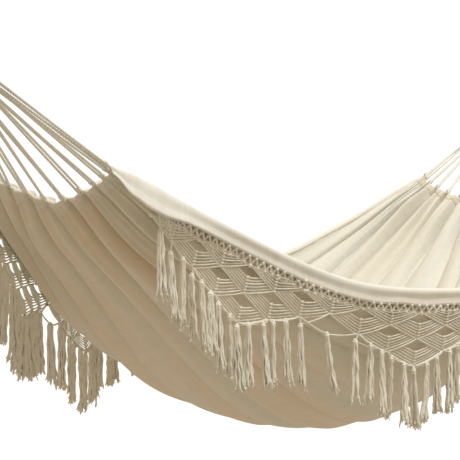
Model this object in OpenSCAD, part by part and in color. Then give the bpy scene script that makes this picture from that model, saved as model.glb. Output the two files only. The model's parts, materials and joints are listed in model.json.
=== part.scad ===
// Cotton hammock with macrame side fringes, hung empty between two hooks.
// The left hook point is the origin. X runs to the right hook, Z is up, and the near side is at -Y.

/* [Hanging] */
// Distance between the two hooks
hook_span = 2976; // [2900:4:3060]
// Slope of the pull on each hanging eye, below level, in degrees
pull_angle = 37; // [34:1:40]
// Length of a hanging eye, from the hook to the neck where the clew lines spread
eye_reach = 110; // [100:5:120]
// Inside radius of the eye's rounded end
eye_inner_r = 20; // [16:1:22]
// Radius of the bound rope that forms the eye
eye_rope_r = 9; // [8:0.5:10]
// Radius of the whipping at the neck
neck_r = 15; // [14:0.5:16]
// Length of the whipping
whipping_len = 55; // [50:1:60]
// Half the width of the fan of clew lines where it leaves the whipping
neck_spread = 26; // [26:0.5:30]

/* [Clew lines] */
// Clew lines at each end
clew_count = 12; // [10:1:12]
// Radius of a clew line, two cords side by side
clew_r = 4; // [3:0.25:4]

/* [Cloth] */
// Half the distance between the end hems at their corners
corner_x = 1075; // [1040:1:1100]
// Half the distance between the end hems at their middles
hem_mid_x = 1022; // [1000:1:1040]
// Half width of the gathered end hem
hem_half_width = 148; // [140:2:180]
// Height of the neck above the hem's corners
corner_drop = 219; // [200:1:240]
// Height of the neck above the hem's middle
hem_mid_drop = 284; // [270:2:320]
// Half width across the rims at the middle of the hammock
rim_half_width = 452; // [420:2:480]
// Height of the neck above the rims' lowest point
rim_drop = 475; // [460:1:520]
// Height of the neck above the belly's lowest point
belly_drop = 799; // [760:1:840]
// Thickness of the cloth with its soft creases
cloth_t = 3; // [2:0.5:4]
// Thickness of the sewn end hem
hem_t = 7; // [6:0.5:8]
// Length of the sewn end hem, as a share of half the cloth
hem_share = 0.02; // [0.015:0.001:0.025]

/* [Fringe] */
// Height of the cloth edge folded out over the rim
fold_h = 30; // [26:1:34]
// Height of the knotted heading under the fold
heading_h = 13; // [9:1:16]
// Depth of each row of knots below the fold
knot_rows = [41, 68, 96, 126];
// Width of one net mesh at the middle of the side
mesh_pitch = 208; // [200:1:215]
// How much each mesh narrows towards the ends, where the cloth is gathered
mesh_gather = 7; // [6:0.25:8]
// Thickness of the net
net_t = 3; // [2:0.5:4]
// Share of the way that the net leans from plumb to square with its rim
net_lean = 0.4; // [0:0.05:0.6]
// Slope at which the net tucks in under the rim, where the cloth recedes
net_tuck = 0.18; // [0:0.02:0.24]
// Length of a tassel
tassel_len = 125; // [110:5:140]
// Radius of a tassel at its frayed end
tassel_r = 8; // [7:0.5:9]

/* [Hidden] */
$fn = 48;

cotton = "#e3dbc6";
shade_cotton = "#cfc4aa";
cord_white = "#ece7d9";
gap = 0.5;                 // clearance between neighbouring soft pieces
hinge_gap = 12;            // clearance under the band, wide enough for a scallop to lift level
mid_x = hook_span / 2;
pull_dir = [cos(pull_angle), 0, -sin(pull_angle)];
neck = eye_reach * pull_dir;
belly_bend = 0.34;         // how evenly the belly curves: small is a tight bend at the middle
rim_level = 0.465;         // share of the rim that hangs level, and how softly it turns down to the ends
rim_turn = 0.16;
spread_level = 0.195;      // share of the cloth that is fully spread, and how softly it gathers in
spread_turn = 0.145;
hem_power = 0.45;          // shape of the hem's curve from its middle up to its corners
hem_soft = 0.01;
cloth_rows = 40;
cloth_columns = 24;
rim_steps = 60;
scallop_meshes = 3;        // meshes across one scallop
net_end = 6.9;             // the net's ends, in meshes from the middle of the side
band_depth = 30;           // the scallops swing below this depth
tassel_out = 12;           // tassels hang this far in front of the net
tassels_per_scallop = 12;
valley_drop = 8;           // the tassel between two scallops hangs this far below their first row of knots

// ---- shape of the hanging cloth ----

function mix(a, b, t) = a + (b - a) * t;
function unit(p) = p / norm(p);
// 0 at the middle and 1 at the end, a rounded V: soft is the size of the rounding
function ease(u, soft) = (sqrt(u * u + soft * soft) - soft) / (sqrt(1 + soft * soft) - soft);
// 0 at the middle and 1 at the end, level as far as a share of the way and then even, with a soft turn
function level_then_even(u, level, turn) = let (
    lean = function (t) t - level + sqrt((t - level) * (t - level) + turn * turn)
  ) (lean(abs(u)) - lean(0)) / (lean(1) - lean(0));
function hem_rise(c) = (pow(c + hem_soft, hem_power) - pow(hem_soft, hem_power))
  / (pow(1 + hem_soft, hem_power) - pow(hem_soft, hem_power));

// u runs from -1 at the left hem to 1 at the right hem, v from -1 at the near rim to 1 at the far rim
function cloth_point(u, v) = let (
    side = sin(90 * v),
    lift = 1 - cos(90 * v),
    end_drop = mix(hem_mid_drop, corner_drop, hem_rise(lift)),
    middle_drop = mix(belly_drop, rim_drop, lift),
    rise = mix(ease(u, belly_bend), level_then_even(u, rim_level, rim_turn), lift)
  ) [
    mid_x + u * mix(hem_mid_x, corner_x, lift),
    side * mix(rim_half_width, hem_half_width, level_then_even(u, spread_level, spread_turn)),
    neck[2] - mix(middle_drop, end_drop, rise)
  ];
function cloth_out(u, v) = let (h = 0.01) unit(cross(
    cloth_point(u, v + h) - cloth_point(u, v - h),
    cloth_point(u + h, v) - cloth_point(u - h, v)
  ));

// ---- shape of the near side's rim, fold and net ----

rim_table = [for (
    i = 0, length = 0;
    i <= rim_steps;
    i = i + 1, length = length + norm(cloth_point(i / rim_steps, -1) - cloth_point((i - 1) / rim_steps, -1))
  ) [length, i / rim_steps]];
// u at a distance along the rim from its middle
function rim_u(distance) = sign(distance) * lookup(abs(distance), rim_table);
// u at a number of net meshes from the middle
function mesh_u(mesh) = rim_u(sign(mesh) * (mesh_pitch * abs(mesh) - mesh_gather * mesh * mesh));
function rim_along(u) = let (h = 0.01) unit(cloth_point(u + h, -1) - cloth_point(u - h, -1));
function rim_out(u) = let (along = rim_along(u)) unit([along[1], -along[0], 0]);
function hang_down(u) = let (along = rim_along(u)) unit([0, 0, -1] + net_lean * along[2] * along);
// A point on the near side, hanging from the rim: depth below it and out in front of it
function side_point(u, depth, out) =
  cloth_point(u, -1) + depth * hang_down(u) + (out - net_tuck * max(0, depth - fold_h)) * rim_out(u);
// Depth of the scalloped edge below the fold at a number of meshes from the middle
function scallop_depth(mesh) = let (
    across = abs(mesh) - scallop_meshes * floor(abs(mesh) / scallop_meshes),
    row = min(3, 2 * min(across, scallop_meshes - across)),
    low = floor(row)
  ) mix(knot_rows[low], knot_rows[min(3, low + 1)], row - low);

// ---- builders ----

// A closed solid between two grids of points, grid[row][column], with the outer grid in front
module sheet_solid(outer, inner) {
  rows = len(outer);
  columns = len(outer[0]);
  count = rows * columns;
  points = [for (grid = [outer, inner]) for (line = grid) for (p = line) p];
  function o(i, j) = i * columns + j;
  function n(i, j) = count + i * columns + j;
  faces = [
    for (i = [0:rows - 2]) for (j = [0:columns - 2]) each [
      [o(i, j), o(i + 1, j), o(i + 1, j + 1)],
      [o(i, j), o(i + 1, j + 1), o(i, j + 1)],
      [n(i, j), n(i + 1, j + 1), n(i + 1, j)],
      [n(i, j), n(i, j + 1), n(i + 1, j + 1)],
    ],
    for (i = [0:rows - 2]) each [
      [o(i, 0), n(i, 0), n(i + 1, 0)],
      [o(i, 0), n(i + 1, 0), o(i + 1, 0)],
      [o(i, columns - 1), n(i + 1, columns - 1), n(i, columns - 1)],
      [o(i, columns - 1), o(i + 1, columns - 1), n(i + 1, columns - 1)],
    ],
    for (j = [0:columns - 2]) each [
      [o(0, j), n(0, j + 1), n(0, j)],
      [o(0, j), o(0, j + 1), n(0, j + 1)],
      [o(rows - 1, j), n(rows - 1, j), n(rows - 1, j + 1)],
      [o(rows - 1, j), n(rows - 1, j + 1), o(rows - 1, j + 1)],
    ],
  ];
  polyhedron(points, faces);
}

module cloth_shell(u0, u1, rows, thickness) {
  us = [for (i = [0:rows]) mix(u0, u1, i / rows)];
  vs = [for (j = [0:cloth_columns]) mix(-1, 1, j / cloth_columns)];
  sheet_solid(
    [for (u = us) [for (v = vs) cloth_point(u, v) + thickness / 2 * cloth_out(u, v)]],
    [for (u = us) [for (v = vs) cloth_point(u, v) - thickness / 2 * cloth_out(u, v)]]
  );
}

// A strip that hangs on the near side: us along the rim, depths[i] = [top, bottom] at each
module side_strip(us, depths, out0, out1) {
  sheet_solid(
    [for (i = [0:len(us) - 1]) [for (d = depths[i]) side_point(us[i], d, out1)]],
    [for (i = [0:len(us) - 1]) [for (d = depths[i]) side_point(us[i], d, out0)]]
  );
}

module rod(a, b, r) {
  along = b - a;
  translate(a)
    rotate([0, acos(along[2] / norm(along)), atan2(along[1], along[0])])
      cylinder(h = norm(along), r = r);
}

// ---- ends ----

module eye_loop() {
  color(cord_white)
    difference() {
      rotate([0, pull_angle, 0])
        union() {
          ring_r = eye_inner_r + eye_rope_r;
          translate([eye_inner_r, 0, 0])
            rotate([90, 0, 0])
              rotate([0, 0, 90])
                rotate_extrude(angle = 180)
                  translate([ring_r, 0])
                    circle(r = eye_rope_r);
          for (side = [-1, 1])
            rod(
              [eye_inner_r, 0, side * ring_r],
              [eye_reach - neck_r / 2, 0, side * eye_rope_r / 2],
              eye_rope_r
            );
          for (side = [-1, 1])
            translate([eye_inner_r, 0, side * ring_r])
              sphere(r = eye_rope_r);
        }
      translate(neck)
        sphere(r = neck_r + gap);
    }
}

module whipping() {
  color(cord_white)
    translate(neck)
      rotate([0, pull_angle, 0])
        union() {
          sphere(r = neck_r);
          rotate([0, 90, 0])
            cylinder(h = whipping_len, r1 = neck_r, r2 = neck_r + whipping_len / 5);
        }
}

function clew_v(i) = mix(-0.98, 0.98, i / (clew_count - 1));
function clew_vector(v) = cloth_point(-1, v) - neck;
// Neighbours leave the whipping in two layers, because they are thicker than their spacing there
function clew_start(i) = neck + (whipping_len + 4) * pull_dir
  + [0, mix(-neck_spread, neck_spread, i / (clew_count - 1)), 0]
  + (i % 2 == 0 ? 1 : -1) * (clew_r + 1) * [sin(pull_angle), 0, cos(pull_angle)];

module clew(i) {
  v = clew_v(i);
  color(cord_white)
    rod(clew_start(i), cloth_point(-1, v) - unit(clew_vector(v)) * (clew_r + 1), clew_r);
}

module end_hem() {
  color(cotton)
    cloth_shell(-1, -1 + hem_share, 1, hem_t);
}

module to_right_end() {
  translate([hook_span, 0, 0])
    mirror([1, 0, 0])
      children();
}

// ---- cloth and fringe ----

module bed_cloth() {
  edge = 1 - hem_share - 0.0015;
  color(shade_cotton)
    cloth_shell(-edge, edge, cloth_rows, cloth_t);
}

module edge_fold() {
  edge = 1 - 1.3 * hem_share;
  us = [for (i = [0:rim_steps]) mix(-edge, edge, i / rim_steps)];
  inside = cloth_t / 2 + gap;
  color(cotton)
    side_strip(us, [for (u = us) [0, fold_h]], inside, inside + cloth_t);
}

module heading() {
  edge = 1 - 1.3 * hem_share;
  us = [for (i = [0:rim_steps]) mix(-edge, edge, i / rim_steps)];
  inside = cloth_t / 2 + gap;
  color(cord_white)
    side_strip(us, [for (u = us) [fold_h + gap, fold_h + heading_h]], inside, inside + net_t);
}

module net_strip(meshes, depths) {
  inside = cloth_t / 2 + gap;
  color(cord_white)
    side_strip([for (m = meshes) mesh_u(m)], depths, inside, inside + net_t);
}

module net_band() {
  meshes = [for (i = [0:4 * 2 * net_end]) -net_end + i / 4];
  top = fold_h + heading_h + gap;
  function bottom(m) = fold_h + band_depth * min(1, 0.45 + 1.1 * (net_end - abs(m)));
  net_strip(meshes, [for (m = meshes) [top, bottom(m)]]);
}

// One scallop, counted from the left end of the side
module net(number) {
  start = (number - 3) * scallop_meshes;
  inset = 0.01;
  meshes = [for (i = [0:12]) start + mix(inset, scallop_meshes - inset, i / 12)];
  net_strip(meshes, [for (m = meshes) [fold_h + band_depth + hinge_gap, fold_h + scallop_depth(m)]]);
}

module tassel() {
  rotate([180, 0, 0])
    cylinder(h = tassel_len, r1 = tassel_r / 2, r2 = tassel_r);
}

// One tassel hangs at the left end of each scallop, and the others along its edge. The last scallop
// has one more, at its right end
function tassel_across(i) = i == 0 ? 0
  : i == tassels_per_scallop ? scallop_meshes
  : mix(0.5, scallop_meshes - 0.5, (i - 1) / (tassels_per_scallop - 2));
function tassel_depth(mesh) = fold_h + max(knot_rows[1] + valley_drop, scallop_depth(mesh));

module tassels(number) {
  start = (number - 3) * scallop_meshes;
  color(cord_white)
    for (i = [0:tassels_per_scallop - (number == 4 ? 0 : 1)]) {
      mesh = start + tassel_across(i);
      translate(side_point(mesh_u(mesh), tassel_depth(mesh), tassel_out))
        tassel();
    }
}

module to_far_side() {
  mirror([0, 1, 0])
    children();
}

eye_loop();  // left_eye_loop
whipping();  // left_whipping
to_right_end() whipping();  // right_whipping
to_right_end() eye_loop();  // right_eye_loop
end_hem();  // left_end_hem
to_right_end() end_hem();  // right_end_hem
clew(0);  // left_clew_01
clew(1);  // left_clew_02
clew(2);  // left_clew_03
clew(3);  // left_clew_04
clew(4);  // left_clew_05
clew(5);  // left_clew_06
clew(6);  // left_clew_07
clew(7);  // left_clew_08
clew(8);  // left_clew_09
clew(9);  // left_clew_10
clew(10);  // left_clew_11
clew(11);  // left_clew_12
to_right_end() clew(0);  // right_clew_01
to_right_end() clew(1);  // right_clew_02
to_right_end() clew(2);  // right_clew_03
to_right_end() clew(3);  // right_clew_04
to_right_end() clew(4);  // right_clew_05
to_right_end() clew(5);  // right_clew_06
to_right_end() clew(6);  // right_clew_07
to_right_end() clew(7);  // right_clew_08
to_right_end() clew(8);  // right_clew_09
to_right_end() clew(9);  // right_clew_10
to_right_end() clew(10);  // right_clew_11
to_right_end() clew(11);  // right_clew_12
bed_cloth();
edge_fold();  // near_edge_fold
to_far_side() edge_fold();  // far_edge_fold
heading();  // near_heading
to_far_side() heading();  // far_heading
net_band();  // near_net_band
to_far_side() net_band();  // far_net_band
net(1);  // near_net_1
net(2);  // near_net_2
net(3);  // near_net_3
net(4);  // near_net_4
to_far_side() net(1);  // far_net_1
to_far_side() net(2);  // far_net_2
to_far_side() net(3);  // far_net_3
to_far_side() net(4);  // far_net_4
tassels(1);  // near_tassels_1
tassels(2);  // near_tassels_2
tassels(3);  // near_tassels_3
tassels(4);  // near_tassels_4
to_far_side() tassels(1);  // far_tassels_1
to_far_side() tassels(2);  // far_tassels_2
to_far_side() tassels(3);  // far_tassels_3
to_far_side() tassels(4);  // far_tassels_4
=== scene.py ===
"""Looks of a fringed cotton hammock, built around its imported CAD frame. Metres, the frame's own axes."""

import json
import math

import bpy
import numpy as np
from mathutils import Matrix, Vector


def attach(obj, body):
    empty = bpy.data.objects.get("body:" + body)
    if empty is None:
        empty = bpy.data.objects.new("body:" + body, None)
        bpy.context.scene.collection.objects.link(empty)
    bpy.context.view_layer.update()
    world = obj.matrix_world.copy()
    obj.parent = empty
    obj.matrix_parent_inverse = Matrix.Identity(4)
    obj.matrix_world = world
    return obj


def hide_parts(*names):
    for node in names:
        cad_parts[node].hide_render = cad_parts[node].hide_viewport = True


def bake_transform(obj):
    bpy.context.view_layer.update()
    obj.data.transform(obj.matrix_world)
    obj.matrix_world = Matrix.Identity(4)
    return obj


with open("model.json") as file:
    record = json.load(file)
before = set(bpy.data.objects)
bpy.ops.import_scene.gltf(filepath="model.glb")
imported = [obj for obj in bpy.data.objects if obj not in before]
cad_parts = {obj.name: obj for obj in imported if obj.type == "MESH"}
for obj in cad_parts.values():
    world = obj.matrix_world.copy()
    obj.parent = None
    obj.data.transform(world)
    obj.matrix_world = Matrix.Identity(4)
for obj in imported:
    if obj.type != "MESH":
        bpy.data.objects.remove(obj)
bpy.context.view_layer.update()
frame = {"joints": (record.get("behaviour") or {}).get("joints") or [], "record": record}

# ---- driving dimensions, as in the CAD part ----

JOINTS = {joint["name"]: joint for joint in frame["joints"]}
MOUNTS = {mount["name"]: mount for mount in frame["record"]["mounts"]}
HOOK_SPAN = MOUNTS["right_eye"]["pos_m"][0]
NECK = np.array(JOINTS["swing"]["pos_m"])
PULL = NECK / np.linalg.norm(NECK)
EYE_REACH = float(np.linalg.norm(NECK))
EYE_INNER_R = 0.020
EYE_ROPE_R = 0.009
NECK_R = 0.015
WHIPPING_LEN = 0.055
CLEW_COUNT = 12
CLEW_R = 0.004
CORNER_X = 1.075
HEM_MID_X = 1.022
HEM_HALF_WIDTH = 0.148
CORNER_DROP = 0.219
HEM_MID_DROP = 0.284
RIM_HALF_WIDTH = 0.452
RIM_DROP = 0.475
BELLY_DROP = 0.799
BELLY_BEND = 0.34
RIM_LEVEL = 0.465
RIM_TURN = 0.16
SPREAD_LEVEL = 0.195
SPREAD_TURN = 0.145
HEM_POWER = 0.45
HEM_SOFT = 0.01
NECK_SPREAD = 0.026
FOLD_H = 0.030
HEADING_H = 0.013
KNOT_ROWS = (0.041, 0.068, 0.096, 0.126)
MESH_PITCH = 0.208
MESH_GATHER = 0.007
NET_LEAN = 0.40
NET_TUCK = 0.18
TASSEL_LEN = 0.125
TASSELS = 12
VALLEY_DROP = 0.008
SCALLOP_MESHES = 3
FLOOR_Z = -1.35
CLOTH_HALF = 0.0009  # half the thickness of the canvas
HALF_LENGTH = 1.165  # of the cloth, along its rim
HALF_WIDTH = 0.62  # of the cloth, round its belly
CLEW_REACH = 0.98  # where the outermost clew lines meet the hem, in v
CLEW_STRAND_R = 0.0025
FLOOR_HALF = 60.0
FLOOR_GLOW = 0.14
AMBIENT_STRENGTH = 0.47
BACKGROUND_STRENGTH = 1.15
SUN_STRENGTH = 2.35
SUN_WIDTH_DEG = 24
SUN_HEADING = (0.05, 0.34, -1.0)

SIDES = {"near": 1, "far": -1}
ENDS = {"left": -1, "right": 1}

# ---- small helpers ----


def mix(a, b, t):
    return a + (b - a) * t


def unit(p):
    return p / np.linalg.norm(p, axis=-1, keepdims=True)


def step(t):
    """0 below 0 and 1 above 1, smoothly."""
    t = np.clip(t, 0, 1)
    return t * t * (3 - 2 * t)


def wander(x, seed, count):
    """A smooth random curve between -1 and 1, over x from 0 to 1."""
    values = np.random.default_rng(seed).uniform(-1, 1, count + 2)
    x = np.clip(x, 0, 1) * count
    low = np.minimum(x.astype(int), count)
    return mix(values[low], values[low + 1], step(x - low))


# ---- shape of the hanging cloth ----


def ease(u, soft):
    return (np.sqrt(u * u + soft * soft) - soft) / (np.sqrt(1 + soft * soft) - soft)


def level_then_even(u, level, turn):
    """0 at the middle and 1 at the ends, level as far as a share of the way and then even."""

    def lean(t):
        return t - level + np.sqrt((t - level) ** 2 + turn * turn)

    return (lean(np.abs(u)) - lean(0)) / (lean(1) - lean(0))


def hem_rise(lift):
    low, high = HEM_SOFT**HEM_POWER, (1 + HEM_SOFT) ** HEM_POWER
    return ((np.maximum(lift, 0) + HEM_SOFT) ** HEM_POWER - low) / (high - low)


def cloth_point(u, v):
    """The cloth without creases: u from -1 at the left hem to 1, v from -1 at the near rim to 1."""
    u, v = np.broadcast_arrays(np.asarray(u, float), np.asarray(v, float))
    side, lift = np.sin(v * math.pi / 2), 1 - np.cos(v * math.pi / 2)
    end_drop = mix(HEM_MID_DROP, CORNER_DROP, hem_rise(lift))
    middle_drop = mix(BELLY_DROP, RIM_DROP, lift)
    rise = mix(ease(u, BELLY_BEND), level_then_even(u, RIM_LEVEL, RIM_TURN), lift)
    x = HOOK_SPAN / 2 + u * mix(HEM_MID_X, CORNER_X, lift)
    y = side * mix(RIM_HALF_WIDTH, HEM_HALF_WIDTH, level_then_even(u, SPREAD_LEVEL, SPREAD_TURN))
    z = NECK[2] - mix(middle_drop, end_drop, rise)
    return np.stack([x, y, z], axis=-1)


def cloth_out(u, v, h=0.01):
    across = cloth_point(u, v + h) - cloth_point(u, v - h)
    along = cloth_point(u + h, v) - cloth_point(u - h, v)
    return unit(np.cross(across, along))


def clew_phase(v):
    """0 at the first clew line, 1 at the second and so on."""
    return (v + CLEW_REACH) / (2 * CLEW_REACH) * (CLEW_COUNT - 1)


def pleats(end, seed, inward, across, phase):
    """Pleats that fan out from the gathered hem, one to each clew line."""
    drift = 0.25 * wander(across, seed, 9) * step(inward / 0.6)
    puff = end * (1.2 - 2 * np.abs(np.sin(math.pi * (phase + drift))) ** 0.6)
    strength = 0.75 + 0.35 * wander(across, seed + 1, 23)
    gather = inward / 0.08
    size = 0.0035 + 0.0190 * gather * np.exp(1 - gather)
    size = size * np.exp(-inward / 0.25) + 0.0270 * np.exp(-inward / 0.62) * step(inward / 0.14)
    return size * puff * strength


def pinches(end, seed, inward, across, phase):
    """Narrow deep creases that run in from the clew lines."""
    off_line = np.abs((phase + 0.5 + 0.10 * wander(across, seed + 5, 31)) % 1 - 0.5)
    reach = 0.055 + 0.035 * wander(across, seed + 6, 17)
    deep = 0.5 + 0.5 * wander(across, seed + 7, 13)
    pinch = end * 0.028 * deep * np.exp(-((off_line / 0.14) ** 2))
    return pinch * np.exp(-inward / reach) * step(0.25 + inward / 0.025)


def small_creases(seed, inward, across, phase):
    """Crumples beside the hem."""
    small = np.sin(2 * math.pi * (phase * 2.7 + 0.6 * wander(across, seed + 2, 15)))
    return 0.0056 * small * np.exp(-inward / 0.12) * step(0.3 + inward / 0.05)


def broad_folds(seed, inward, across, u):
    """Wide folds along the cloth that fade towards its middle."""
    broad = wander(across + 0.015 * np.sin(3 * u), seed + 3, 15) * 0.017
    return broad * step(inward / 0.14) * (0.16 + 0.84 * np.exp(-((inward / 0.60) ** 2)))


def soft_folds(seed, inward, across, u):
    """Low folds between the wide ones."""
    soft = wander(across + 0.01 * np.sin(5 * u + 1), seed + 4, 34) * 0.0042
    return soft * step(inward / 0.1) * (0.30 + 0.70 * np.exp(-inward / 0.5))


def crease(u, v):
    """How far the creases stand out from the smooth cloth."""
    inward = 1 - np.abs(u)
    phase = clew_phase(v)
    across = (v + 1) / 2
    total = np.zeros(np.broadcast(u, v).shape)
    for end, seed in ((-1, 11), (1, 47)):
        folds = pleats(end, seed, inward, across, phase)
        folds = folds + pinches(end, seed, inward, across, phase)
        folds = folds + small_creases(seed, inward, across, phase)
        folds = folds + broad_folds(seed, inward, across, u)
        folds = folds + soft_folds(seed, inward, across, u)
        near_end = step(0.5 + end * u * 1.6)
        total = total + near_end * folds
    rim_fade = step((1 - np.abs(v)) / 0.36)
    return total * rim_fade


def hem_end(v):
    """Where the cloth ends along u: drawn out at each clew line, and slack between them."""
    puff = np.abs(np.sin(math.pi * clew_phase(v)))
    return 1.002 - 0.0035 * puff


def creased(u, v, out=0.0):
    """A point on the creased cloth, or out in front of it, with u scaled to the scalloped hem."""
    reach = mix(1.0, hem_end(v), np.abs(u) ** 14)
    return cloth_point(u * reach, v) + (crease(u, v) + out)[..., None] * cloth_out(u, v)


# ---- shape of a side: rim, fold and net ----

_rim_u = np.linspace(0, 1, 241)
_rim_line = cloth_point(_rim_u, -1)
_rim_s = np.concatenate([[0], np.cumsum(np.linalg.norm(np.diff(_rim_line, axis=0), axis=1))])


def mesh_u(mesh):
    """u at a number of net meshes from the middle of the side."""
    mesh = np.asarray(mesh, float)
    distance = MESH_PITCH * np.abs(mesh) - MESH_GATHER * mesh * mesh
    return np.sign(mesh) * np.interp(distance, _rim_s, _rim_u)


def side_point(u, depth, out):
    """A point on the near side that hangs from the rim: depth below it and out in front of it."""
    h = 0.01
    along = unit(cloth_point(u + h, -1) - cloth_point(u - h, -1))
    outward = unit(np.stack([along[..., 1], -along[..., 0], 0 * along[..., 0]], axis=-1))
    down = unit(np.array([0, 0, -1.0]) + NET_LEAN * along[..., 2:3] * along)
    depth, out = np.broadcast_arrays(np.asarray(depth, float), np.asarray(out, float))
    out = out - NET_TUCK * np.maximum(0, depth - FOLD_H)
    return cloth_point(u, -1) + depth[..., None] * down + out[..., None] * outward


def scallop_depth(mesh):
    across = np.abs(mesh) % SCALLOP_MESHES
    row = np.minimum(3, 2 * np.minimum(across, SCALLOP_MESHES - across))
    return np.interp(row, range(4), KNOT_ROWS)


# ---- mesh builders ----


class Mesh:
    """Collects points and faces for one object."""

    def __init__(self):
        self.points, self.faces, self.count = [], [], 0

    def add(self, points, faces):
        points = np.asarray(points, float).reshape(-1, 3)
        self.points.append(points)
        self.faces += (np.asarray(faces) + self.count).tolist()
        self.count += len(points)

    def object(self, name, material, mirror_y=False, mirror_x=False, uv=None):
        points = np.concatenate(self.points)
        faces = self.faces
        if mirror_y:
            points = points * [1, -1, 1]
        if mirror_x:
            points = points * [-1, 1, 1] + [HOOK_SPAN, 0, 0]
        if mirror_x != mirror_y:
            faces = [face[::-1] for face in faces]
        mesh = bpy.data.meshes.new(name)
        mesh.from_pydata(points.tolist(), [], faces)
        mesh.polygons.foreach_set("use_smooth", np.ones(len(mesh.polygons), bool))
        if uv is not None:
            layer = mesh.uv_layers.new(name="cloth")
            corners = np.empty(len(mesh.loops), int)
            mesh.loops.foreach_get("vertex_index", corners)
            layer.data.foreach_set("uv", np.asarray(uv, float)[corners].ravel())
        mesh.materials.append(material)
        mesh.update()
        piece = bpy.data.objects.new(name, mesh)
        bpy.context.scene.collection.objects.link(piece)
        return piece


def grid_faces(rows, columns, wrap=False):
    """Quads of a grid of points, the last column joined to the first where it wraps."""
    i, j = np.meshgrid(np.arange(rows - 1), np.arange(columns if wrap else columns - 1), indexing="ij")
    k = (j + 1) % columns
    here, below = i * columns, (i + 1) * columns
    return np.stack([here + j, here + k, below + k, below + j], -1).reshape(-1, 4)


def frames(path, up):
    """Two directions square to each point of paths[..., n, 3]."""
    along = unit(np.gradient(path, axis=-2))
    one = unit(np.cross(along, up))
    return one, np.cross(one, along)


def around(one, two, angle):
    """Directions at each angle round each point of a path, from its two square directions."""
    return one[..., None, :] * np.cos(angle)[:, None] + two[..., None, :] * np.sin(angle)[:, None]


def tubes(mesh, paths, radius, sides=6, lobes=0, lobe=0.0, pitch=1.0, up=(0.13, 0.97, 0.2)):
    """Tubes along paths[k, n, 3]. radius is one number or radius[k, n]; lobes turn once per pitch."""
    paths = np.asarray(paths, float)
    if paths.ndim == 2:
        paths = paths[None]
    count, rings = paths.shape[:2]
    one, two = frames(paths, np.asarray(up, float))
    radius = np.broadcast_to(np.asarray(radius, float), (count, rings))
    angle = np.arange(sides) / sides * 2 * math.pi
    length = np.linalg.norm(np.diff(paths, axis=1), axis=2)
    travel = np.concatenate([np.zeros((count, 1)), np.cumsum(length, axis=1)], axis=1)
    twist = angle[None, None] - 2 * math.pi * travel[..., None] / pitch
    swell = 1 + lobe * np.cos(lobes * twist) if lobes else 1
    size = (radius[..., None] * swell)[..., None]
    points = paths[:, :, None] + size * around(one, two, angle)
    faces = grid_faces(rings, sides, wrap=True)
    per_tube = rings * sides
    for k in range(count):
        base = mesh.count
        mesh.add(points[k], faces)
        mesh.faces.append([base + j for j in range(sides)][::-1])
        mesh.faces.append([base + per_tube - sides + j for j in range(sides)])


def blobs(mesh, centres, radii, sides=7, rows=5):
    """Small round knots: radii[k, 3] are the half sizes along X, Y and Z."""
    polar = np.linspace(0.12, math.pi - 0.12, rows)
    angle = np.arange(sides) / sides * 2 * math.pi
    ball = np.stack(
        [
            np.sin(polar)[:, None] * np.cos(angle),
            np.sin(polar)[:, None] * np.sin(angle),
            np.cos(polar)[:, None] + 0 * angle,
        ],
        axis=-1,
    ).reshape(-1, 3)
    faces = grid_faces(rows, sides, wrap=True)
    for centre, size in zip(centres, np.broadcast_to(radii, (len(centres), 3))):
        base = mesh.count
        mesh.add(centre + ball * size, faces[:, ::-1])
        mesh.faces.append([base + j for j in range(sides)])
        mesh.faces.append([base + (rows - 1) * sides + j for j in range(sides)][::-1])


def sweep(mesh, rings, closed_ends=True):
    """A closed profile swept along: rings[n, m, 3]."""
    count, size = rings.shape[:2]
    base = mesh.count
    mesh.add(rings, grid_faces(count, size, wrap=True))
    if closed_ends:
        mesh.faces.append([base + j for j in range(size)][::-1])
        mesh.faces.append([base + (count - 1) * size + j for j in range(size)])


# ---- materials ----


class Nodes:
    """A short way to write a material's nodes."""

    def __init__(self, name):
        self.material = bpy.data.materials.new(name)
        self.material.use_nodes = True
        self.tree = self.material.node_tree
        self.shader = self.tree.nodes["Principled BSDF"]

    def add(self, kind, values=(), **links):
        node = self.tree.nodes.new("ShaderNode" + kind)
        for key, value in dict(values).items():
            if isinstance(key, str) and hasattr(node, key):
                setattr(node, key, value)
            else:
                node.inputs[key].default_value = value
        for key, source in links.items():
            self.tree.links.new(source, node.inputs[key.replace("_", " ")])
        return node

    def link(self, source, target):
        self.tree.links.new(source, target)

    def math(self, operation, a, b=None):
        node = self.tree.nodes.new("ShaderNodeMath")
        node.operation = operation
        for k, value in enumerate((a, b)):
            if value is None:
                continue
            if hasattr(value, "node"):
                self.tree.links.new(value, node.inputs[k])
            else:
                node.inputs[k].default_value = value
        return node.outputs[0]

    def ramp(self, factor, low, high, start=0.3, end=0.7):
        node = self.tree.nodes.new("ShaderNodeValToRGB")
        node.color_ramp.elements[0].position = start
        node.color_ramp.elements[1].position = end
        node.color_ramp.elements[0].color = (*low, 1)
        node.color_ramp.elements[1].color = (*high, 1)
        self.tree.links.new(factor, node.inputs[0])
        return node.outputs[0]


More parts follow.
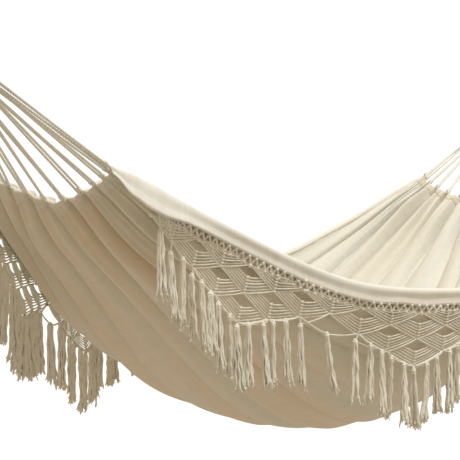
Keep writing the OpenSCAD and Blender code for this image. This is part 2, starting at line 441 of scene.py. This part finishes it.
def cotton_cloth(name, pale, warm, grey):
    """Plain-woven unbleached canvas: slubby threads both ways and faint streaks along the length."""
    n = Nodes(name)
    place = n.add("TexCoord").outputs["UV"]

    def stretched(across, along, scale, detail=3):
        mapping = n.add("Mapping", {"Scale": (along, across, 1)}, Vector=place)
        return n.add("TexNoise", {"Scale": scale, "Detail": detail}, Vector=mapping.outputs[0]).outputs[0]

    streak = stretched(14, 0.7, 1.0)
    hue = stretched(9, 0.5, 1.7, 2)
    warp = stretched(330, 22, 1.0)
    weft = stretched(22, 330, 1.0)
    base = n.ramp(streak, warm, pale, 0.42, 0.58)
    toned = n.add("Mix", {"data_type": "RGBA", "blend_type": "MIX"})
    n.link(n.ramp(hue, (0, 0, 0), (1, 1, 1), 0.46, 0.62), toned.inputs[0])
    n.link(base, toned.inputs[6])
    toned.inputs[7].default_value = (*grey, 1)
    threads = n.math("ADD", warp, weft)
    slub = n.add("Mix", {"data_type": "RGBA", "blend_type": "MULTIPLY"})
    slub.inputs[0].default_value = 0.55
    n.link(toned.outputs[2], slub.inputs[6])
    gaps = n.ramp(n.math("MULTIPLY", threads, 0.5), (0.86, 0.84, 0.80), (1, 1, 1), 0.38, 0.56)
    n.link(gaps, slub.inputs[7])
    n.link(slub.outputs[2], n.shader.inputs["Base Color"])
    bump = n.add("Bump", {"Strength": 0.35, "Distance": 0.0009}, Height=threads)
    n.link(bump.outputs[0], n.shader.inputs["Normal"])
    n.shader.inputs["Roughness"].default_value = 0.92
    n.shader.inputs["Sheen Weight"].default_value = 0.15
    return n.material


def cotton_cord(name, pale, shade, scale=260.0, strength=0.4):
    """Twisted cotton: fine fibres and a little soiling."""
    n = Nodes(name)
    place = n.add("TexCoord").outputs["Object"]
    fibres = n.add("TexNoise", {"Scale": scale, "Detail": 4.0, "Roughness": 0.65}, Vector=place).outputs[0]
    patches = n.add("TexNoise", {"Scale": 9.0, "Detail": 2.0}, Vector=place).outputs[0]
    both = n.math("ADD", n.math("MULTIPLY", fibres, 0.6), n.math("MULTIPLY", patches, 0.4))
    n.link(n.ramp(both, shade, pale, 0.38, 0.58), n.shader.inputs["Base Color"])
    bump = n.add("Bump", {"Strength": strength, "Distance": 0.0006}, Height=fibres)
    n.link(bump.outputs[0], n.shader.inputs["Normal"])
    n.shader.inputs["Roughness"].default_value = 0.9
    n.shader.inputs["Sheen Weight"].default_value = 0.2
    return n.material


# ---- camera ----


def set_camera():
    """Near the left end, level with the hammock, looking along it to the far right."""
    sensor, heading, focus = 36.0, 28.3, 4.227
    camera = bpy.data.cameras.new("camera")
    camera.sensor_width = sensor
    camera.lens = sensor * focus
    camera.shift_y = -0.0798
    camera.clip_end = 100
    eye = bpy.data.objects.new("camera", camera)
    eye.location = (-2.509, -1.964, -0.333)
    eye.rotation_euler = (math.radians(90), 0, math.radians(heading - 90))
    bpy.context.scene.collection.objects.link(eye)
    bpy.context.scene.camera = eye


# ---- clew lines, eyes and whippings ----


def clew_v(i):
    return mix(-CLEW_REACH, CLEW_REACH, i / (CLEW_COUNT - 1))


def clew_route(i):
    """The centre of one clew line of the left end, as its CAD rod lies."""
    layer = (1 if i % 2 == 0 else -1) * (CLEW_R + 0.001)
    beside = np.array([0, mix(-NECK_SPREAD, NECK_SPREAD, i / (CLEW_COUNT - 1)), 0])
    start = NECK + PULL * (WHIPPING_LEN + 0.004) + beside + layer * np.array([-PULL[2], 0, PULL[0]])
    hem = cloth_point(-1, clew_v(i))
    return start, hem - unit(hem - NECK) * (CLEW_R + 0.001)


def clew_strands(mesh, start, stop, beside, through, rng):
    """Two strands side by side that drift round each other a little."""
    length = float(np.linalg.norm(stop - start))
    t = np.linspace(-0.006 / length, 1 + 0.004 / length, 150)
    path = start + t[:, None] * (stop - start)
    apart = mix(0.0024, 0.0035, step(t * 1.6 - 0.1))
    turn = 0.5 * np.sin(2.2 * t + rng.uniform(0, 6))
    for side in (-1, 1):
        offset = np.cos(turn)[:, None] * beside + np.sin(turn)[:, None] * through
        strand = path + side * apart[:, None] * offset
        tubes(mesh, strand, CLEW_STRAND_R, sides=12, lobes=3, lobe=0.12, pitch=side * 0.021, up=through)


def clew_binding(mesh, stop, along, beside, through):
    """Three turns of cord that bind the strands at the hem."""
    angle = np.linspace(0, 2 * math.pi, 15)
    for k in range(3):
        centre = stop - along * (0.004 + 0.0030 * k)
        ring = centre + 0.0054 * np.cos(angle)[:, None] * beside + 0.0034 * np.sin(angle)[:, None] * through
        ring = ring + along * (0.0007 * np.sin(angle))[:, None]
        tubes(mesh, ring, 0.0014, sides=6, up=along + 0.01)


def clew_line(end, i, material):
    """A doubled cord, taut from the whipping to the hem and bound there."""
    start, stop = clew_route(i)
    along = unit(stop - start)
    v = clew_v(i)
    beside = cloth_point(-1, v + 0.02) - cloth_point(-1, v - 0.02)
    beside = unit(beside - (beside @ along) * along)
    through = np.cross(along, beside)
    rng = np.random.default_rng(900 + i + 50 * (end == "right"))
    mesh = Mesh()
    clew_strands(mesh, start, stop, beside, through, rng)
    clew_binding(mesh, stop, along, beside, through)
    name = f"{end}_clew_{i + 1:02d}"
    mirrored = end == "right"
    piece = mesh.object(f"{name}_cord", material, mirror_x=mirrored)
    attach(piece, "bed")
    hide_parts(name)
    route = [start + s * (stop - start) for s in np.linspace(0, 1, 20)]
    if mirrored:
        route = [np.array([HOOK_SPAN - p[0], p[1], p[2]]) for p in route]


def bound_tube(mesh, path, radius, wrap=0.0036, sides=22, groove=0.0011, up=(0.02, 1, 0.01)):
    """A bundle bound side by side with cord: round ridges that climb one wrap each turn."""
    one, two = frames(path[None], np.asarray(up, float))
    length = np.concatenate([[0], np.cumsum(np.linalg.norm(np.diff(path, axis=0), axis=1))])
    angle = np.arange(sides) / sides * 2 * math.pi
    climb = length[:, None] / wrap - angle[None] / (2 * math.pi)
    ridge = groove * (np.abs(np.cos(math.pi * climb)) ** 0.6 - 1)
    size = (np.broadcast_to(radius, length.shape)[:, None] + ridge)[..., None]
    sweep(mesh, path[:, None] + size * around(one[0], two[0], angle))


def even(path, spacing):
    """The same line with points at an even spacing."""
    length = np.concatenate([[0], np.cumsum(np.linalg.norm(np.diff(path, axis=0), axis=1))])
    at = np.linspace(0, length[-1], int(length[-1] / spacing))
    return np.stack([np.interp(at, length, path[:, k]) for k in range(3)], -1)


def hanging_eye(end, material):
    """A loop of bound rope, open where the hook goes through."""
    up = np.array([-PULL[2], 0, PULL[0]])
    ring = EYE_INNER_R + EYE_ROPE_R
    centre = PULL * EYE_INNER_R
    foot = PULL * (EYE_REACH - NECK_R * 0.9)
    turn = np.linspace(math.pi / 2, 3 * math.pi / 2, 60)
    arc = centre + ring * (np.cos(turn)[:, None] * PULL + np.sin(turn)[:, None] * up)
    s = np.linspace(0, 1, 40)[1:, None]
    lower = mix(arc[-1], foot - up * EYE_ROPE_R * 0.45, s)
    upper = mix(arc[0], foot + up * EYE_ROPE_R * 0.45, s)[::-1]
    path = np.concatenate([upper, arc, lower])
    for _ in range(12):
        path[1:-1] = (path[:-2] + 2 * path[1:-1] + path[2:]) / 4
    loop = Mesh()
    bound_tube(loop, even(path, 0.0006), EYE_ROPE_R)
    piece = loop.object(f"{end}_hanging_eye", material, mirror_x=end == "right")
    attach(piece, f"{end}_eye")
    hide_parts(f"{end}_eye_loop")


def neck_whipping(end, material):
    """The collar that binds the clew lines, round at the eye and wider towards the fan."""
    collar = Mesh()
    line = NECK + np.linspace(-NECK_R * 0.97, WHIPPING_LEN, 118)[:, None] * PULL
    reach = (line - NECK) @ PULL
    dome = np.sqrt(np.maximum(NECK_R**2 - np.minimum(reach, 0) ** 2, 1e-8))
    radius = np.where(reach < 0, dome, NECK_R + reach / 5)
    bound_tube(collar, line, radius, wrap=0.0034, sides=36)
    piece = collar.object(f"{end}_neck_whipping", material, mirror_x=end == "right")
    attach(piece, "bed")
    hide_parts(f"{end}_whipping")


# ---- cloth ----


def cloth_grid():
    """Rows of u, closer together at the hems, and columns of v, closer together near the rims."""
    t = np.linspace(-1, 1, 361)
    u = np.sign(t) * (1 - (1 - np.abs(t)) ** 1.35)
    s = np.linspace(-1, 1, 331)
    v = s + 0.03 * np.sin(math.pi * s) * np.abs(s)
    return np.meshgrid(u, v, indexing="ij")


def border_faces(rows, columns):
    """Quads that join the edges of two equal grids, the second one's points after the first's."""
    count = rows * columns
    border = (
        [(i, 0) for i in range(rows)]
        + [(rows - 1, j) for j in range(1, columns)]
        + [(i, columns - 1) for i in range(rows - 2, -1, -1)]
        + [(0, j) for j in range(columns - 2, 0, -1)]
    )
    ring = [i * columns + j for i, j in border]
    return [[a, a + count, b + count, b] for a, b in zip(ring, ring[1:] + ring[:1])]


def bed_cloth(material, inside):
    """The creased canvas. The inside faces take a paler, less warm copy of the canvas: painted light, the
    lit inner side drawn paler than the outer side in shade.
    """
    u, v = cloth_grid()
    faces = grid_faces(*u.shape)
    mesh = Mesh()
    mesh.add(creased(u, v, CLOTH_HALF * np.ones_like(u)), faces)
    mesh.add(creased(u, v, -CLOTH_HALF * np.ones_like(u)), faces[:, ::-1])
    mesh.faces += border_faces(*u.shape)
    flat = np.stack([u * HALF_LENGTH, v * HALF_WIDTH], -1).reshape(-1, 2)
    piece = mesh.object("bed_canvas", material, uv=np.concatenate([flat, flat]))
    piece.data.materials.append(inside)
    sides = np.zeros(len(piece.data.polygons), int)
    sides[len(faces) : 2 * len(faces)] = 1
    piece.data.polygons.foreach_set("material_index", sides)
    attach(piece, "bed")
    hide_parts("bed_cloth")
    return piece


# Outline of a hem from its inner edge round its end, each (in from the end, out from the cloth)
HEM_PROFILE = [
    (0.0205, 0.0012),
    (0.0195, 0.0021),
    (0.012, 0.0023),
    (0.004, 0.0027),
    (0.0005, 0.0030),
    (-0.0022, 0.0020),
]
HEM_PROFILE += [(-0.0030, 0.0)] + [(s, -o) for s, o in HEM_PROFILE[::-1]]


def end_hem(end, material):
    """The double hem: a rolled strip that follows the gathered, scalloped end of the cloth."""
    v = np.linspace(-1, 1, 12 * 30 + 1)
    toward = ENDS[end]
    tuft = wander((v + 1) / 2, 77, 130)
    swell = 0.8 + 0.7 * np.abs(np.sin(math.pi * clew_phase(v))) + 0.6 * tuft
    rings = [creased(toward * (1 - s) * np.ones_like(v), v, o * swell) for s, o in HEM_PROFILE]
    rings = np.stack(rings, axis=1)
    mesh = Mesh()
    sweep(mesh, rings if toward > 0 else rings[:, ::-1])
    reach = np.tile([s for s, _ in HEM_PROFILE], len(v))
    uv = np.stack([np.repeat(v * HALF_WIDTH, len(HEM_PROFILE)), reach], -1)
    piece = mesh.object(f"{end}_hem_cloth", material, uv=uv)
    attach(piece, "bed")
    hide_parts(f"{end}_end_hem")


# Outline of the fold, each (depth below the rim, out from the cloth): outside, inside, under the rim
FOLD_PROFILE = [(-0.0045, -0.0005), (-0.0060, 0.0035), (-0.0040, 0.0080), (0.0010, 0.0105)]
FOLD_PROFILE += [(0.0070, 0.0098), (0.0120, 0.0076), (0.0170, 0.0074), (0.0240, 0.0088), (0.0300, 0.0092)]
FOLD_PROFILE += [(0.0300, 0.0070), (0.0240, 0.0066), (0.0170, 0.0052), (0.0120, 0.0052), (0.0060, 0.0040)]
FOLD_PROFILE += [(0.0, 0.0020), (0.0030, -0.0012), (0.0050, -0.0018), (0.0040, -0.0026), (0.0005, -0.0024)]


def edge_fold(side, material):
    """The cloth edge turned out over the rim: a soft roll, a shallow groove and a hanging band."""
    u = np.linspace(-0.999, 0.999, 800)
    across = (u + 1) / 2
    seed = 300 if side == "near" else 340
    ripple = 0.0016 * wander(across, seed, 46) + 0.0009 * wander(across, seed + 1, 120)
    wave = 0.0017 * wander(across, seed + 2, 30)
    rings = []
    inward = 1 - np.abs(u)
    tall = (0.45 + 0.55 * step(inward / 0.04)) * (1 + 0.42 * np.exp(-((inward - 0.085) / 0.05) ** 2))
    crumple = 0.0034 * wander(across, seed + 3, 90) * np.exp(-inward / 0.12)
    flat = 0.55 * np.exp(-((inward - 0.09) / 0.10) ** 2)
    for depth, out in FOLD_PROFILE:
        sway = step((depth + 0.004) / 0.02)
        bulge = out + ripple * (0.35 + 0.65 * sway) + crumple + flat * max(depth, 0)
        rings.append(side_point(u, (depth + wave * sway) * tall, bulge))
    mesh = Mesh()
    sweep(mesh, np.stack(rings, axis=1))
    size = len(rings)
    uv = np.stack([np.repeat(u * HALF_LENGTH, size), np.tile(np.linspace(0, 0.09, size), len(u))], -1)
    piece = mesh.object(f"{side}_fold_cloth", material, mirror_y=SIDES[side] < 0, uv=uv)
    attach(piece, "bed")
    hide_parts(f"{side}_edge_fold")
    return piece


# ---- fringe ----

NET_OUT = 0.0045
STRAND_R = 0.0016
NET_START = 6.38
KNOTS = 6
COLUMN_H = 0.030
LATTICE = 0.13
ROW_DEPTH = {-2: 0.001, -1: HEADING_H + 0.001, **dict(enumerate(KNOT_ROWS))}
SCALLOP_NODES = {1: (0.5, 1.5, 2.5), 2: (1, 2), 3: (1.5,)}


def strand(mesh, ends, sag=0.0010, rings=9, radius=STRAND_R, out=NET_OUT, sides=6):
    """Strands given as rows of (mesh, depth) to (mesh, depth), on the hanging surface of the side."""
    ends = np.asarray(ends, float)
    t = np.linspace(0, 1, rings)[None]
    at = mix(ends[:, 0:1], ends[:, 2:3], t)
    depth = mix(ends[:, 1:2], ends[:, 3:4], t) + sag * 4 * t * (1 - t)
    lift = 0.0022 * np.sin(math.pi * t) + 0.0006 * np.sin(40 * ends[:, 0:1] + 900 * ends[:, 1:2])
    paths = side_point(mesh_u(at), FOLD_H + depth, out + lift + 0 * depth)
    tubes(mesh, paths, radius, sides=sides, lobes=2, lobe=0.18, pitch=0.012)


def knots(mesh, at, depth, size=(0.0046, 0.0042, 0.0031), out=NET_OUT + 0.0012):
    centres = side_point(mesh_u(np.asarray(at, float)), FOLD_H + np.asarray(depth, float), out)
    blobs(mesh, centres, np.asarray(size))


def column(row):
    """Depths of a node's knots, from top to bottom."""
    return KNOT_ROWS[row] - COLUMN_H * (1 - np.arange(KNOTS) / (KNOTS - 1))


def nested(node, row):
    """Strands that run down to a node's knots from both sides, one inside the other."""
    lines = []
    for toward in (-0.5, 0.5):
        for k, depth in enumerate(column(row)):
            inward = 0.5 * (1 - k / (KNOTS - 1))
            start = mix(ROW_DEPTH[row - 1], ROW_DEPTH[row - 2], inward)
            lines.append((node + toward * (1 - inward), start, node + toward * 0.03, depth))
    return lines


def heading(side, cord):
    """A lattice under the fold: knots along its edge, crossed strands and a second row of knots."""
    mesh = Mesh()
    rng = np.random.default_rng(500 if side == "near" else 540)
    top = np.arange(-NET_START, NET_START + 0.01, LATTICE)
    foot = top[:-1] + LATTICE / 2
    low = ROW_DEPTH[-1]
    crossed = []
    for m in foot:
        for toward in (-1, 1):
            for beside in (-0.009, 0.009):
                wobble = rng.normal(0, 0.003)
                crossed.append((m + toward * LATTICE / 2 + beside, -0.003, m + beside + wobble, low))
    strand(mesh, crossed, sag=0, rings=5, radius=0.0012)
    sway = rng.normal(0, 0.0012, len(top))
    knots(mesh, top, 0.0005 + sway, size=(0.0044, 0.0036, 0.0034), out=0.0072)
    knots(mesh, foot, low + 0 * foot, size=(0.0042, 0.0034, 0.0032))
    line = np.linspace(top[0], top[-1], 1100)
    for k in (0, 1):
        path = side_point(mesh_u(line), FOLD_H + low + 0.0034 * k - 0.001, NET_OUT + 0 * line)
        tubes(mesh, path, 0.0011, sides=6, lobes=2, lobe=0.2, pitch=0.012)
    piece = mesh.object(f"{side}_heading_cords", cord, mirror_y=SIDES[side] < 0)
    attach(piece, "bed")
    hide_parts(f"{side}_heading")


def upper_row(side, cord):
    """The first row of knots, which stays with the bed, and the cords that border the net's ends."""
    mesh = Mesh()
    lines, at, depths = [], [], []
    for node in range(-6, 7):
        lines += nested(node, 0)
        at += [node] * KNOTS
        depths += list(column(0))
    for end in (-1, 1):
        for k, depth in enumerate(column(0)):
            lines.append((end * (NET_START - 0.05 * k), 0.001 * k, end * 6.02, depth + 0.001))
    strand(mesh, lines)
    knots(mesh, at, depths)
    halves = np.arange(-6.5, 7)
    knots(mesh, halves, ROW_DEPTH[-1] + 0.002 + 0 * halves, size=(0.0054, 0.0040, 0.0044))
    piece = mesh.object(f"{side}_net_upper_row", cord, mirror_y=SIDES[side] < 0)
    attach(piece, "bed")
    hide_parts(f"{side}_net_band")


def swings(piece):
    """Bakes the piece's placement into its mesh."""
    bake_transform(piece)


def scallop_net(side, number, cord):
    start = (number - 3) * SCALLOP_MESHES
    mesh = Mesh()
    lines, at, depths = [], [], []
    for row, places in SCALLOP_NODES.items():
        for across in places:
            lines += nested(start + across, row)
            at += [start + across] * KNOTS
            depths += list(column(row))
    strand(mesh, lines)
    knots(mesh, at, depths)
    piece = mesh.object(f"{side}_net_scallop_{number}", cord, mirror_y=SIDES[side] < 0)
    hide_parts(f"{side}_net_{number}")
    swings(piece)


TASSEL_STRANDS = 14
# Shares of a tassel's length, and its radius at each
TASSEL_SPREAD = (
    (0, 0.05, 0.12, 0.35, 0.80, 0.92, 1),
    (0.0036, 0.0056, 0.0042, 0.0068, 0.0082, 0.0108, 0.0124),
)


def tassel_strands(top, rng):
    """Paths of the wavy strands, which flare towards the foot."""
    length = TASSEL_LEN * rng.uniform(0.93, 1.04)
    lean = rng.normal(0, 0.0055, 2)
    t = np.linspace(0, 1, 15)
    angle = rng.uniform(0, 2 * math.pi, TASSEL_STRANDS)
    spread = np.sqrt((np.arange(TASSEL_STRANDS) + 0.5) / TASSEL_STRANDS) * rng.uniform(0.8, 1.1)
    swell = np.interp(t, *TASSEL_SPREAD)
    phase = rng.uniform(0, 6.28, (TASSEL_STRANDS, 2))
    rate = rng.uniform(12, 24, (TASSEL_STRANDS, 2))
    pull = rng.uniform(0.90, 1.03, TASSEL_STRANDS)
    wave = 0.0011 * step(t / 0.25)
    x = spread[:, None] * np.cos(angle)[:, None] * swell + wave * np.sin(rate[:, :1] * t + phase[:, :1])
    y = spread[:, None] * np.sin(angle)[:, None] * swell + wave * np.sin(rate[:, 1:] * t + phase[:, 1:])
    z = -t[None] * length * pull[:, None]
    return top + np.stack([x + lean[0] * t**1.5, y + lean[1] * t**1.5, z], axis=-1)


def tassel_frays(paths, rng):
    """Paths of the loose fibres at the strands' feet."""
    frays = []
    for end, before in zip(paths[:, -1], paths[:, -3]):
        along = unit(end - before)
        for _ in range(4):
            aim = along + rng.normal(0, 0.30, 3)
            s = np.linspace(0, 1, 4)[:, None]
            frays.append(end - along * 0.004 + aim * s * rng.uniform(0.004, 0.008))
    return np.array(frays)


def tassel(mesh, top, rng):
    """A bound head and wavy strands that flare and fray at the foot."""
    paths = tassel_strands(top, rng)
    t = np.linspace(0, 1, paths.shape[1])
    radius = np.interp(t, [0, 0.8, 1], [0.0021, 0.0022, 0.0019])
    radius = np.broadcast_to(radius, paths.shape[:2])
    tubes(mesh, paths, radius, sides=6, lobes=2, lobe=0.2, pitch=0.014)
    frays = tassel_frays(paths, rng)
    tubes(mesh, frays, np.array([[0.0014, 0.0013, 0.0011, 0.0008]] * len(frays)), sides=4)
    turn = np.linspace(0, 2 * math.pi, 11)
    for k in range(3):
        drop = -0.004 - 0.0028 * k + 0.0008 * np.sin(turn)
        ring = top + np.stack([0.0048 * np.cos(turn), 0.0048 * np.sin(turn), drop], -1)
        tubes(mesh, ring, 0.0016, sides=5, up=(0.01, 0.02, 1))
    blobs(mesh, [top - [0, 0, 0.0005]], [[0.0050, 0.0050, 0.0042]])


def tassel_places(number):
    """Where tassels hang along a scallop: (mesh, depth) and the two nodes that carry each."""
    start = (number - 3) * SCALLOP_MESHES
    across = [0.0] + [mix(0.5, SCALLOP_MESHES - 0.5, i / (TASSELS - 2)) for i in range(TASSELS - 1)]
    if number == 4:
        across.append(float(SCALLOP_MESHES))
    places = []
    for a in across:
        at = start + a
        depth = max(KNOT_ROWS[1] + VALLEY_DROP, float(scallop_depth(at))) + 0.004
        left = math.floor(at * 2 + 1e-6) / 2
        nodes = (at - 0.5, at + 0.5) if a in (0, SCALLOP_MESHES) else (left, left + 0.5)
        if abs(at) == 2 * SCALLOP_MESHES:
            nodes = (at, at)
            depth = KNOT_ROWS[0] + 0.020
        places.append((at, depth, nodes))
    outer = {1: -1, 4: 1}.get(number)
    if outer:
        places.append((outer * 6.28, 0.034, (outer * 6.16, outer * 6.36)))
        places.append((outer * 5.75, mix(KNOT_ROWS[0], KNOT_ROWS[1], 0.5) + 0.006, (outer * 6, outer * 5.5)))
    return places


def scallop_tassels(side, number, cord):
    rng = np.random.default_rng(700 + number + (40 if side == "far" else 0))
    mesh = Mesh()
    links = []
    for at, depth, nodes in tassel_places(number):
        place = at + rng.normal(0, 0.022)
        top = side_point(mesh_u(np.array([place])), FOLD_H + depth, 0.0085)[0]
        tassel(mesh, top, rng)
        for node in nodes:
            beyond = abs(node) > 6
            edge = np.interp(abs(node), (6, NET_START), (KNOT_ROWS[0], 0.006))
            foot = edge if beyond else float(scallop_depth(node))
            for _ in range(2):
                upper = node + rng.normal(0, 0.008)
                lower = place + rng.normal(0, 0.006)
                links.append((upper, foot - 0.002, lower, depth + 0.001))
    strand(mesh, links, sag=0.0025, rings=8, out=NET_OUT + 0.0020)
    piece = mesh.object(f"{side}_tassel_row_{number}", cord, mirror_y=SIDES[side] < 0)
    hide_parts(f"{side}_tassels_{number}")
    swings(piece)


# ---- surroundings ----


def set_floor():
    """A pale floor that glows faintly and sends no light back to the object."""
    floor = Mesh()
    size = FLOOR_HALF
    corners = [(-size, -size), (size, -size), (size, size), (-size, size)]
    floor.add([(x, y, FLOOR_Z) for x, y in corners], [[0, 1, 2, 3]])
    pale = Nodes("floor_white")
    pale.shader.inputs["Base Color"].default_value = (0.90, 0.94, 1.0, 1)
    pale.shader.inputs["Emission Color"].default_value = (1, 1, 1, 1)
    pale.shader.inputs["Emission Strength"].default_value = FLOOR_GLOW
    pale.shader.inputs["Roughness"].default_value = 0.9
    ground = floor.object("floor", pale.material)
    ground.visible_diffuse = False


def set_world():
    """Warm dim light all round, with a plain white background where the camera looks past the object."""
    world = bpy.data.worlds.new("studio")
    bpy.context.scene.world = world
    world.use_nodes = True
    tree = world.node_tree
    ambient = tree.nodes["Background"]
    ambient.inputs[0].default_value = (1.0, 0.83, 0.61, 1)
    ambient.inputs[1].default_value = AMBIENT_STRENGTH
    white = tree.nodes.new("ShaderNodeBackground")
    white.inputs[0].default_value = (1, 1, 1, 1)
    white.inputs[1].default_value = BACKGROUND_STRENGTH
    pick = tree.nodes.new("ShaderNodeMixShader")
    path = tree.nodes.new("ShaderNodeLightPath")
    tree.links.new(path.outputs["Is Camera Ray"], pick.inputs[0])
    tree.links.new(ambient.outputs[0], pick.inputs[1])
    tree.links.new(white.outputs[0], pick.inputs[2])
    tree.links.new(pick.outputs[0], tree.nodes["World Output"].inputs[0])


def set_key_light():
    """One broad soft sun, high up on the near side."""
    key = bpy.data.lights.new("key", "SUN")
    key.energy = SUN_STRENGTH
    key.angle = math.radians(SUN_WIDTH_DEG)
    key.color = (0.975, 0.99, 0.965)
    lamp = bpy.data.objects.new("key", key)
    lamp.rotation_euler = Vector(SUN_HEADING).to_track_quat("-Z", "Y").to_euler()
    bpy.context.scene.collection.objects.link(lamp)


def set_view():
    view = bpy.context.scene.view_settings
    view.view_transform = "Standard"
    view.look = "None"


def main():
    set_camera()
    set_floor()
    set_world()
    set_key_light()
    set_view()
    canvas = cotton_cloth("cotton_canvas", (0.83, 0.79, 0.69), (0.85, 0.745, 0.62), (0.78, 0.77, 0.67))
    hem_cotton = cotton_cloth("cotton_hem", (0.86, 0.84, 0.77), (0.80, 0.76, 0.67), (0.76, 0.75, 0.69))
    # The fold's cloth is near white, paler than the canvas it is turned from: painted highlight for its
    # brightly lit top.
    edging_painted_lit = cotton_cloth("cotton_edge_painted_lit", (0.95, 0.95, 0.92), (0.93, 0.92, 0.87), (0.91, 0.92, 0.89))
    # The inside material is a paler, less warm copy of the canvas: painted light, the lit inner side drawn
    # paler than the outer side in shade. The streaks in both are the cloth's own.
    inside = cotton_cloth("cotton_inside_painted_lit", (0.82, 0.81, 0.75), (0.80, 0.77, 0.69), (0.78, 0.78, 0.73))
    clew_cotton = cotton_cord("clew_cotton", (0.95, 0.95, 0.92), (0.80, 0.80, 0.75))
    whip_cotton = cotton_cord("whipping_cotton", (0.78, 0.74, 0.64), (0.64, 0.59, 0.49))
    net_cotton = cotton_cord("net_cotton", (0.94, 0.93, 0.87), (0.85, 0.83, 0.74))
    tassel_cotton = cotton_cord("tassel_cotton", (0.92, 0.90, 0.83), (0.80, 0.78, 0.69), strength=0.55)
    for end in ENDS:
        for i in range(CLEW_COUNT):
            clew_line(end, i, clew_cotton)
    for end in ENDS:
        hanging_eye(end, whip_cotton)
        neck_whipping(end, whip_cotton)
        end_hem(end, hem_cotton)
    canvas_piece = bed_cloth(canvas, inside)
    for side in SIDES:
        edge_fold(side, edging_painted_lit)
        heading(side, net_cotton)
        upper_row(side, net_cotton)
        for number in (1, 2, 3, 4):
            scallop_net(side, number, net_cotton)
            scallop_tassels(side, number, tassel_cotton)


main()
